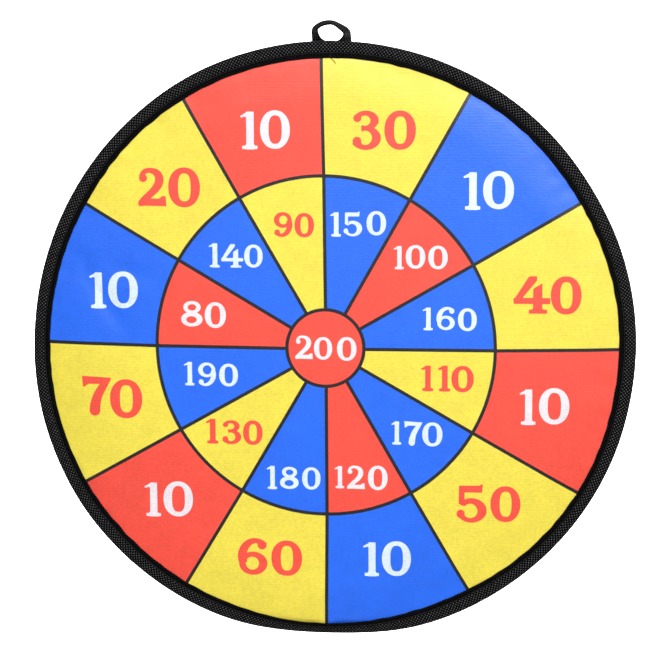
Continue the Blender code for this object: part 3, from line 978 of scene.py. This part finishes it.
def build_face():
    rim_n = 600
    rim = rim_points(rim_n, stack_r)
    groups, edges = [rim], ring_edges(0, rim_n)
    count = rim_n
    lines = []

    def add(p, closed):
        nonlocal count
        n = len(p)
        groups.append(p)
        edges.extend((count + k, count + (k + 1) % n) for k in range(n if closed else n - 1))
        count += n
        lines.append(p)

    for n in NUMERALS:
        for loop in n.outlines(0.34 if n.h > 18 else 0.30):
            add(loop, True)
    a = np.arange(420) * TAU / 420
    for side in (-LINE_HALF, LINE_HALF):
        rr = ring_r(a) + side
        add(np.stack([RING_MID[0] + rr * np.cos(a), RING_MID[1] + rr * np.sin(a)], -1), True)
    a = np.arange(130) * TAU / 130
    for side in (-LINE_HALF, LINE_HALF):
        add(np.stack([BULL_MID[0] + (BULL_R + side) * np.cos(a),
                      BULL_MID[1] + (BULL_R + side) * np.sin(a)], -1), True)
    for k in range(12):
        p = spoke_line(k)
        start = p[0] + (p[1] - p[0]) * ((BULL_R + 0.6 - 20.0) / np.linalg.norm(p[1] - p[0]))
        p[0] = start
        end_dir = (p[3] - p[2]) / np.linalg.norm(p[3] - p[2])
        r2, th2 = polar(p[2][0], p[2][1])
        reach = stack_r(np.array(th2)) - r2 - 0.6
        p[3] = p[2] + end_dir * reach
        for side in (-LINE_HALF, LINE_HALF):
            row = []
            for i, (q0, q1) in enumerate(zip(p[:-1], p[1:])):
                e = (q1 - q0) / np.linalg.norm(q1 - q0)
                nrm = np.array([-e[1], e[0]])
                m = max(1, int(np.linalg.norm(q1 - q0) / 1.6))
                for s in range(m):
                    row.append(q0 + (q1 - q0) * s / m + nrm * side)
            row.append(p[-1] + nrm * side)
            add(np.array(row), False)
    tree = KDTree(sum(len(p) for p in lines))
    i = 0
    for p in lines:
        for q in p:
            tree.insert((q[0], q[1], 0.0), i)
            i += 1
    tree.balance()
    fill = disc_points(2.15, lambda th: stack_r(th) - 0.9)
    far = np.array([tree.find((q[0], q[1], 0.0))[2] > 0.75 for q in fill])
    groups.append(fill[far])
    co, tri, rim_i = triangulated(groups, edges, rim_n)
    front_y = face_front(co[:, 0], co[:, 1])
    front = placed(co[:, 0], front_y, co[:, 1])
    # the wrong side, coarser, joined at the rim
    co2, tri2, rim2 = triangulated([rim, disc_points(4.2, lambda th: stack_r(th) - 2.0)],
                                   ring_edges(0, rim_n), rim_n)
    y2 = face_front(co2[:, 0], co2[:, 1]) + FACE_T
    back = placed(co2[:, 0], y2, co2[:, 1])
    m = len(front)
    k = np.arange(rim_n)
    wall = np.stack([rim_i[k], rim_i[(k + 1) % rim_n], m + rim2[(k + 1) % rim_n], m + rim2[k]], -1)
    # one winding for all: front looks towards -y
    def wound(t, c, want):
        p = c[t]
        nrm = np.cross(p[:, 1] - p[:, 0], p[:, 2] - p[:, 0])[:, 1]
        flip = (nrm * want) < 0
        t = t.copy()
        t[flip] = t[flip][:, ::-1]
        return t
    tri = wound(tri, front, -1.0)
    tri2 = wound(tri2, back, 1.0) + m
    allco = np.vstack([front, back])
    ob = make("printed_face", allco, [tri, tri2, wall[:, ::-1]], M_FACE)
    me = ob.data
    cen = np.zeros(len(me.polygons) * 3, np.float32)
    me.polygons.foreach_get("center", cen)
    cen = cen.reshape(-1, 3).astype(float) * 1000.0
    nf = len(tri)
    codes = np.full(len(me.polygons), "u")
    cx, cz = cen[:nf, 0] - CX, cen[:nf, 2] - CZ
    codes[:nf] = print_codes(cx, cz)
    table = dict(DYE)
    table["u"] = (0.80, 0.80, 0.82)
    col = np.array([(*table[c], 1.0) for c in codes], np.float32)
    starts = np.zeros(len(me.polygons), np.int32)
    me.polygons.foreach_get("loop_total", starts)
    per_corner = np.repeat(col, starts, axis=0)
    at = me.color_attributes.new("print", "FLOAT_COLOR", "CORNER")
    at.data.foreach_set("color", per_corner.ravel())
    print("face:", len(me.vertices), "verts", len(me.polygons), "faces")
    return ob


face = build_face()
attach(face, "board")
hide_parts("face_cloth")


# ----------------------------------------------------------- padding and backs
def slab(name, step, rim_n, radius, front_y, back_y, mat):
    """A closed disc between two surfaces given as functions of (x, z)."""
    rim = rim_points(rim_n, radius)
    co, tri, ri = triangulated([rim, disc_points(step, lambda th: radius(th) - step * 0.45)],
                               ring_edges(0, rim_n), rim_n)
    f = placed(co[:, 0], front_y(co[:, 0], co[:, 1]), co[:, 1])
    b = placed(co[:, 0], back_y(co[:, 0], co[:, 1]), co[:, 1])
    m = len(co)
    p = f[tri]
    nrm = np.cross(p[:, 1] - p[:, 0], p[:, 2] - p[:, 0])[:, 1]
    tri = np.where((nrm > 0)[:, None], tri[:, ::-1], tri)
    k = np.arange(rim_n)
    a, b2 = ri[k], ri[(k + 1) % rim_n]
    # match the wall's winding to the front's: find one front edge on the rim
    wall = np.stack([b2, a, m + a, m + b2], -1)
    edges = set()
    for t in tri:
        edges.update([(t[0], t[1]), (t[1], t[2]), (t[2], t[0])])
    if (int(b2[0]), int(a[0])) in edges:
        wall = wall[:, ::-1]
    return make(name, np.vstack([f, b]), [tri, tri[:, ::-1] + m, wall], mat)


FOAM_BACK = -2.5
foam = slab("foam_wadding", 3.0, 420, lambda th: stack_r(th) - 0.3,
            lambda x, z: np.minimum(face_front(x, z) + FACE_T + 0.12, FOAM_BACK - 0.15),
            lambda x, z: FOAM_BACK + 0.0 * x, M_FOAM)
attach(foam, "board")
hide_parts("foam_pad")

steel = slab("iron_filled_disc", 9.0, 300, lambda th: stack_r(th) - 0.4,
             lambda x, z: -2.2 + 0.0 * x, lambda x, z: -1.6 + 0.0 * x, M_FERR)
for p in steel.data.polygons:
    p.use_smooth = False
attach(steel, "board")
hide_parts("ferrous_sheet")

BACK_WAVE = wobble(21, 40, 96, 0.3)


def back_face(x, z):
    """Wall side of the backing: proud by a little inside the binding's edge,
    with soft gathers along the seam."""
    r, th = polar(x, z)
    inside = 1.0 - smooth01((r - 164.5) / 4.5)
    y = -0.80 + 0.27 * inside
    gather = np.exp(-((r - 163.0) / 5.0) ** 2)
    slack = 0.05 * np.sin(x * 0.071 + 1.3) * np.cos(z * 0.063 - 0.4) \
        + 0.04 * np.sin(x * 0.031 - z * 0.052)
    return y - 0.05 * (1 + BACK_WAVE(th)) * gather - (0.09 + slack) * inside * 0.5


back = slab("backing_cloth", 2.6, 420, lambda th: stack_r(th) - 0.2,
            lambda x, z: back_face(x, z) - 0.5, back_face, M_BACK)
xyz = np.zeros(len(back.data.vertices) * 3, np.float32)
back.data.vertices.foreach_get("co", xyz)
xyz = xyz.reshape(-1, 3)[corner_verts(back)] * 1000.0
corner_vectors(back, "strip", np.stack([xyz[:, 0], xyz[:, 2], 0 * xyz[:, 0]], -1))
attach(back, "board")
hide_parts("back_cloth")


# --------------------------------------------------------------- the binding
def build_binding():
    n_th = 860
    th = np.arange(n_th) * TAU / n_th
    ri, ro = lip_in(th), rim_out(th)
    re = ro - FOLD_A
    yo = fold_edge(th)
    bi = BACK_IN + 0.20 * wobble(15, 40, 110, 0.3)(th)
    back_wave = 0.06 * wobble(16, 30, 90, 0.3)(th)

    def section(d, nf, na, nb):
        """(radius, y) around the outside, d inside it."""
        rows = []
        t = np.linspace(0.0, 1.0, nf)
        for q in t:
            r = ri + (re - ri) * q
            rows.append((r, lip_front(r, th) + d))
        n = 2.35
        for q in np.linspace(-90.0, 90.0, na)[1:]:
            c, s = math.cos(math.radians(q)), math.sin(math.radians(q))
            a, h = FOLD_A - d, -yo / 2.0 - d
            rows.append((re + a * max(c, 0.0) ** (2 / n),
                         yo / 2.0 + h * np.sign(s) * abs(s) ** (2 / n)))
        for q in np.linspace(0.0, 1.0, nb)[1:]:
            r = re + (bi - re) * q
            dip = 0.10 * np.exp(-((r - seam_back(th)) / 0.6) ** 2)
            rows.append((r, -d - dip - np.maximum(back_wave, 0.0) * q * 0.5 + 0.0 * r))
        return rows

    outer = section(0.0, 26, 17, 16)
    inner = section(TAPE_T, 13, 9, 8)
    # rounded cut edges
    f0, b0 = outer[0], outer[-1]
    outer.insert(0, (f0[0] - 0.13, f0[1] + 0.22))
    outer.append((b0[0] - 0.13, b0[1] - 0.25))
    rows = outer + inner[::-1]
    P = np.stack([np.stack([r * np.cos(th) + 0.0 * y, y + 0.0 * r, r * np.sin(th)], -1)
                  for r, y in rows], 1)
    co = placed(P[..., 0], P[..., 1], P[..., 2])
    nu, nv = co.shape[:2]
    # running width coordinate along the section, and length round the edge
    R = np.stack([r + 0 * th for r, y in rows], 1)
    Y = np.stack([y + 0 * th for r, y in rows], 1)
    dv = np.hypot(np.diff(R, axis=1), np.diff(Y, axis=1))
    V = np.concatenate([np.zeros((nu, 1)), np.cumsum(dv, 1)], 1)
    V = V - V[:, 1:2]
    ob = make("rim_binding", co.reshape(-1, 3), [skin(nu, nv, True, True)], M_TAPE)
    idx = corner_verts(ob)
    length = 2.15 * 526                      # whole number of lattice steps round
    iu, iv = idx // nv, idx % nv
    # corners of the last strip count on past the end
    tot = len(idx) // 4
    q = iu.reshape(tot, 4)
    wrapq = (q.max(1) == nu - 1) & (q.min(1) == 0)
    uu = q.astype(float)
    uu[wrapq] = np.where(q[wrapq] == 0, nu, q[wrapq])
    u = uu.ravel() / nu * length
    v = V[iu, iv]
    corner_vectors(ob, "strip", np.stack([u, v, np.zeros_like(u)], -1))
    return ob


def seam_back(th):
    return 173.4 - 2.6 * curl(th) + 0.0 * th


binding = build_binding()
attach(binding, "board")
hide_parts("binding_tape")


# --------------------------------------------------------------- the stitches
def stitch_row(name, count, radius, surface, outward, seed, thick=0.36):
    """Separate stitches of a lockstitched row; each dives into the cloth at its ends."""
    rng = np.random.default_rng(seed)
    sides, along = 7, 9
    step = TAU / count
    verts, faces, strips = [], [], []
    s = np.linspace(-1.0, 1.0, along)
    for k in range(count):
        mid = (k + 0.5) * step + rng.normal() * step * 0.02
        half = step * (0.455 + 0.02 * rng.normal())
        th = mid + s * half
        slant = 0.10 + 0.03 * rng.normal()
        r = radius(th) + slant * s
        y0 = surface(r, th)
        # proud in the middle, drawn in at the ends
        lift = thick * 0.5 * (1.0 - 1.9 * np.abs(s) ** 5) + 0.03
        y = y0 + outward * lift
        fat = thick / 2.0 * np.sqrt(np.clip(1.0 - 0.82 * np.abs(s) ** 7, 0.02, 1.0))
        fat = fat * (1.0 + 0.05 * rng.normal())
        c = np.stack([r * np.cos(th), y, r * np.sin(th)], -1)
        tang = np.gradient(c, axis=0)
        tang /= np.linalg.norm(tang, axis=1)[:, None]
        rad = np.stack([np.cos(th), 0 * th, np.sin(th)], -1)
        n2 = np.cross(tang, rad)
        n2 /= np.linalg.norm(n2, axis=1)[:, None]
        n1 = np.cross(n2, tang)
        a = np.arange(sides) * TAU / sides
        P = (c[:, None] + (np.cos(a)[None, :, None] * n1[:, None] + np.sin(a)[None, :, None]
                           * n2[:, None]) * fat[:, None, None])
        base = len(verts) * (sides * along + 2)
        co = np.vstack([P.reshape(-1, 3), c[:1] - tang[:1] * 0.06, c[-1:] + tang[-1:] * 0.06])
        verts.append(co)
        body = skin(along, sides, False, True, base)
        j = np.arange(sides)
        cap0 = np.stack([base + j, base + (j + 1) % sides, np.full(sides, base + sides * along)], -1)
        e = base + (along - 1) * sides
        cap1 = np.stack([e + (j + 1) % sides, e + j, np.full(sides, base + sides * along + 1)], -1)
        faces.append((body, cap0, cap1))
        run = (s[:, None] * half * 173.0) + 0 * a[None, :]
        strip = np.stack([run + k * 3.0, np.broadcast_to(a / TAU, run.shape), np.zeros_like(run)], -1)
        strips.append(np.vstack([strip.reshape(-1, 3), [[run[0, 0] + k * 3.0, 0, 0]],
                                 [[run[-1, 0] + k * 3.0, 0, 0]]]))
    co = np.vstack(verts)
    quads = np.vstack([f[0] for f in faces])
    tris = np.vstack([np.vstack(f[1:]) for f in faces])
    co3 = placed(co[:, 0], co[:, 1], co[:, 2])
    ob = make(name, co3, [quads, tris], M_THREAD)
    corner_vectors(ob, "strip", np.vstack(strips)[corner_verts(ob)])
    return ob


needle = stitch_row("needle_stitches", 376, seam_r, lip_front, -1.0, 41)
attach(needle, "board")
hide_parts("binding_thread")
bobbin = stitch_row("bobbin_stitches", 376, seam_back,
                    lambda r, th: -0.10 + 0.0 * r, 1.0, 42)
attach(bobbin, "board")
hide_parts("bobbin_thread")


def tube(name, path, radius, mat, sides=8, phase=0.0):
    """Closed round tube along points (row frame, mm)."""
    p = np.asarray(path, float)
    n = len(p)
    rad = np.full(n, float(radius)) if np.isscalar(radius) else np.asarray(radius, float)
    tang = np.gradient(p, axis=0)
    tang /= np.linalg.norm(tang, axis=1)[:, None]
    nrm = np.cross(tang, [0.0, 1.0, 0.0])
    small = np.linalg.norm(nrm, axis=1) < 1e-3
    nrm[small] = np.cross(tang[small], [1.0, 0.0, 0.0])
    nrm /= np.linalg.norm(nrm, axis=1)[:, None]
    for i in range(1, n):
        v = nrm[i - 1] - tang[i] * (nrm[i - 1] @ tang[i])
        nrm[i] = v / np.linalg.norm(v)
    bi = np.cross(tang, nrm)
    a = np.arange(sides) * TAU / sides + phase
    P = p[:, None] + (np.cos(a)[None, :, None] * nrm[:, None]
                      + np.sin(a)[None, :, None] * bi[:, None]) * rad[:, None, None]
    co = np.vstack([P.reshape(-1, 3), p[:1] - tang[:1] * rad[0] * 0.4, p[-1:] + tang[-1:] * rad[-1] * 0.4])
    body = skin(n, sides, False, True)
    j = np.arange(sides)
    cap0 = np.stack([j, (j + 1) % sides, np.full(sides, n * sides)], -1)
    e = (n - 1) * sides
    cap1 = np.stack([e + (j + 1) % sides, e + j, np.full(sides, n * sides + 1)], -1)
    ob = make(name, co, [body, cap0, cap1], mat)
    d = np.append(0.0, np.cumsum(np.linalg.norm(np.diff(p, axis=0), axis=1)))
    strip = np.stack([np.repeat(d, sides), np.tile(a / TAU, n), np.zeros(n * sides)], -1)
    strip = np.vstack([strip, [[0, 0, 0]], [[d[-1], 0, 0]]])
    corner_vectors(ob, "strip", strip[corner_verts(ob)])
    return ob


def catmull(points, per_span):
    pts = np.array(points, float)
    pts = np.vstack([2 * pts[0] - pts[1], pts, 2 * pts[-1] - pts[-2]])
    out = []
    for i in range(1, len(pts) - 2):
        p0, p1, p2, p3 = pts[i - 1:i + 3]
        for k in range(per_span):
            t = k / per_span
            out.append(0.5 * (2 * p1 + (p2 - p0) * t + (2 * p0 - 5 * p1 + 4 * p2 - p3) * t * t
                              + (3 * p1 - p0 - 3 * p2 + p3) * t ** 3))
    out.append(pts[-2])
    return np.array(out)


# a cut end of the sewing thread, left lying on the face under the top edge
tail_xz = catmull([(0.8, 172.6), (1.4, 170.4), (2.6, 169.1), (3.6, 168.0), (4.0, 166.9)], 8)
tx, tz = tail_xz[:, 0], tail_xz[:, 1]
ty = np.minimum(face_front(tx, tz), lip_front(tz, np.arctan2(tz, tx)) + 0 * tz) - 0.10
ty[:10] = lip_front(tz[:10], np.arctan2(tz[:10], tx[:10])) - 0.12
ty = np.convolve(np.pad(ty, 2, "edge"), np.ones(5) / 5, "valid")
tail = tube("thread_end", placed(tx, ty, tz), 0.17, M_THREAD, 7)
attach(tail, "board")

# ------------------------------------------------------------ the hanging loop
LOOP_W, LOOP_T = 8.5, 1.2
LOOP_END_Z, CREASE_Z, CREASE_Y = -15.3, -10.0, 1.65
LOOP_Y0 = 0.3 + LOOP_T / 2
# centre of the tape's width (x, z), and how far its front edge lies from its back
# edge seen square on (x, z)
LEG_L, LEG_R = -7.55, 6.85
LOOP_LINE = [(LEG_L, -15.3, 8.5, 0.0), (LEG_L, -13.5, 8.5, 0.0), (LEG_L, -11.7, 8.5, 0.0),
             (-7.80, -10.0, 8.2, -0.05), (-9.05, -8.43, 5.8, -0.30), (-9.80, -6.12, 4.5, -0.35),
             (-10.0, -3.95, 3.8, -0.60), (-9.45, -2.50, 3.1, -1.20), (-7.60, -1.05, 2.1, -1.90),
             (-5.00, 0.08, 1.15, -2.20), (-1.92, 0.62, 0.55, -2.10), (0.78, 0.38, 0.05, -1.85),
             (3.10, -0.70, -0.60, -1.90), (5.25, -2.10, -1.20, -2.20), (7.10, -3.40, -2.20, -2.00),
             (8.40, -4.85, -2.90, -1.30), (8.60, -6.50, -3.50, -0.50), (8.00, -8.60, -5.2, -0.10),
             (7.05, -10.1, -8.1, 0.0), (LEG_R, -11.7, -8.5, 0.0), (LEG_R, -13.5, -8.5, 0.0),
             (LEG_R, -15.3, -8.5, 0.0)]


def build_loop():
    line = catmull(LOOP_LINE, 8)
    x, z = line[:, 0], line[:, 1]
    y = LOOP_Y0 - 2.1 * smooth01((z - CREASE_Z - 0.6) / 9.5)
    c = np.stack([x, y, z], -1)
    n = len(c)
    ahead = np.gradient(c, axis=0)
    ahead /= np.linalg.norm(ahead, axis=1)[:, None]
    lean = line[:, 2:4]
    deep = np.sqrt(np.maximum(LOOP_W ** 2 - (lean ** 2).sum(1), 0.0))
    across = np.stack([lean[:, 0], -deep, lean[:, 1]], -1) / LOOP_W
    through = np.cross(ahead, across)
    through /= np.linalg.norm(through, axis=1)[:, None]
    # one strip folded lengthways: two plies joined by the round fold at the front
    # edge of the loop, open at the other edge, where the raw edges meet
    sec = []
    m = 12
    hw, ht, slit = LOOP_W / 2, LOOP_T / 2, 0.07
    ply = (ht - slit) / 2                     # half a ply's thickness
    run_in = np.linspace(-hw + 0.05, hw - ht, m)
    for q in run_in:                          # outside of the first ply
        sec.append((q, ht - 0.09 * math.sin(math.pi * (q + hw) / LOOP_W) ** 2))
    for q in (65, 40, 15, -15, -40, -65):     # round the fold
        a = math.radians(q)
        sec.append((hw - ht + ht * math.cos(a), ht * math.sin(a)))
    for q in run_in[::-1]:                    # outside of the second ply
        sec.append((q, -ht + 0.09 * math.sin(math.pi * (q + hw) / LOOP_W) ** 2))
    sec.append((-hw - 0.03, -slit - ply))
    for q in run_in[::3]:                     # back up the slit
        sec.append((q, -slit))
    for q in (-60, 0, 60):
        a = math.radians(q)
        sec.append((hw - ht + slit * math.cos(a), slit * math.sin(a)))
    for q in run_in[::3][::-1]:
        sec.append((q, slit))
    sec.append((-hw - 0.03, slit + ply))
    sec = np.array(sec)
    P = c[:, None] + across[:, None] * sec[None, :, :1] + through[:, None] * sec[None, :, 1:]
    co = P.reshape(-1, 3)
    k = len(sec)
    body = skin(n, k, False, True)
    e = (n - 1) * k
    ends = np.array([list(range(k))[::-1], list(range(e, e + k))])
    edge0 = {(int(f[i]), int(f[(i + 1) % 4])) for f in body[:2 * k] for i in range(4)}
    if (int(ends[0][0]), int(ends[0][1])) in edge0:
        ends = ends[:, ::-1]
    ob = make("loop_tape", co, [body, ends], M_LOOP, sharp_deg=60)
    run = np.append(0.0, np.cumsum(np.linalg.norm(np.diff(c, axis=0), axis=1)))
    wid = np.append(0.0, np.cumsum(np.hypot(*np.diff(sec, axis=0).T)))
    strip = np.stack([np.repeat(run, k), np.tile(wid, n), np.zeros(n * k)], -1)
    corner_vectors(ob, "strip", strip[corner_verts(ob)])
    return ob


loop = build_loop()
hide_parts("hanging_loop", "loop_end_left", "loop_end_right")
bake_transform(loop)

for side_name, leg in (("left", LEG_L), ("right", LEG_R)):
    yt = LOOP_Y0 + LOOP_T / 2 + 0.10
    zig = []
    turns = 9
    for q in range(turns + 1):
        zig.append((leg + 6.2 * (q / turns - 0.5), yt, -13.0 + 2.3 * (0.5 if q % 2 else -0.5)))
    p = catmull(zig, 7)
    # each pass stands proud in the middle and dips in at its turning points
    phase = np.linspace(0, turns, len(p))
    p[:, 1] += 0.16 * np.abs(np.sin(np.pi * phase)) ** 0.6 - 0.04
    tack = tube("tack_stitches_" + side_name, p, 0.17, M_THREAD, 8)
    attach(tack, "board")
    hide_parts("loop_tack_" + side_name)

# ------------------------------------------------------------------- the scene
sc = bpy.context.scene
sc.view_settings.view_transform = "Standard"
sc.view_settings.look = "None"


def stage_mesh():
    """Pale floor that turns up softly into a pale wall behind."""
    z0, back_y, rad = -620.0, 2700.0, 900.0
    prof = [(-2600.0, z0), (-1200.0, z0), (0.0, z0), (back_y - rad, z0)]
    for k in range(1, 17):
        a = math.radians(90.0 * k / 16)
        prof.append((back_y - rad + rad * math.sin(a), z0 + rad * (1 - math.cos(a))))
    prof.append((back_y, 2600.0))
    xs = np.linspace(-3200.0, 3200.0, 9)
    P = np.array([[(x, y, z) for y, z in prof] for x in xs])
    return P


M_STAGE, nt, b = principled("pale_floor", Roughness=0.9)
b.inputs["Specular IOR Level"].default_value = 0.1
co_ = N(nt, "ShaderNodeTexCoord").outputs["Object"]
nt.links.new(mixed(nt, noise(nt, co_, 3.0, 2.0, 0.5), (0.90, 0.90, 0.90), (0.93, 0.93, 0.93)),
             b.inputs["Base Color"])
P = stage_mesh()
me = bpy.data.meshes.new("floor")
me.from_pydata([tuple(0.001 * v for v in p) for p in P.reshape(-1, 3)], [],
               [tuple(int(i) for i in q) for q in skin(P.shape[0], P.shape[1], False, False)])
me.update()
floor = bpy.data.objects.new("floor", me)
sc.collection.objects.link(floor)
me.materials.append(M_STAGE)
for p in me.polygons:
    p.use_smooth = True


def area_light(name, loc, aim, size, power, size_y=None):
    d = bpy.data.lights.new(name, "AREA")
    d.energy = power
    d.size = size
    if size_y:
        d.shape = "RECTANGLE"
        d.size_y = size_y
    o = bpy.data.objects.new(name, d)
    o.location = loc
    o.rotation_mode = "QUATERNION"
    o.rotation_quaternion = (Vector(aim) - Vector(loc)).to_track_quat("-Z", "Y")
    sc.collection.objects.link(o)
    return o


mid = (CX * 0.001, -0.006, CZ * 0.001)
key = area_light("key_right", (0.36, -1.12, 0.44), mid, 0.8, 2.66, 0.55)
key.data.spread = math.radians(60.0)
fill = area_light("fill_left", (-1.1, -1.7, 0.45), mid, 1.2, 0.95, 1.2)
fill.data.spread = math.radians(80.0)
area_light("overhead", (0.04, -0.26, 0.42), (0.0, -0.05, -0.15), 0.9, 0.6, 0.3)
wash = area_light("floor_wash", (-0.12, 1.75, 1.75), (-0.12, 1.95, -0.62), 1.8, 110.0, 1.3)
wash.data.spread = math.radians(78.0)
behind = area_light("back_fill", (1.20, 1.60, -0.15), mid, 0.8, 1.6)
behind.data.spread = math.radians(32.0)

world = bpy.data.worlds.new("studio")
sc.world = world
world.use_nodes = True
bg = world.node_tree.nodes["Background"]
bg.inputs[0].default_value = (1.0, 1.0, 1.0, 1.0)
bg.inputs[1].default_value = 0.13

# camera: 8.5 degrees above the board's middle, 5.5 degrees to its right
ELEV, AZIM, ROLL, DIST, FOCAL = 8.476, 5.488, -0.18, 1189.57, 1994.35
SHIFT_X, SHIFT_Y = -4.97, 21.53
el, az = math.radians(ELEV), math.radians(AZIM)
back_dir = Vector((math.sin(az) * math.cos(el), -math.cos(az) * math.cos(el), math.sin(el)))
cam_data = bpy.data.cameras.new("camera")
cam = bpy.data.objects.new("camera", cam_data)
sc.collection.objects.link(cam)
sc.camera = cam
cam.location = (Vector((CX, -3.3, CZ)) + back_dir * DIST) * 0.001
cam.rotation_mode = "QUATERNION"
right = (-back_dir).cross(Vector((0, 0, 1))).normalized()
up = right.cross(-back_dir)
ro_ = math.radians(ROLL)
r2 = right * math.cos(ro_) + up * math.sin(ro_)
u2 = -right * math.sin(ro_) + up * math.cos(ro_)
cam.rotation_quaternion = Matrix((r2, u2, back_dir)).transposed().to_quaternion()
cam_data.sensor_width = 36.0
cam_data.lens = FOCAL / 650.0 * 36.0
cam_data.shift_x = SHIFT_X / 650.0
cam_data.shift_y = SHIFT_Y / 650.0
cam_data.clip_start, cam_data.clip_end = 0.05, 30.0
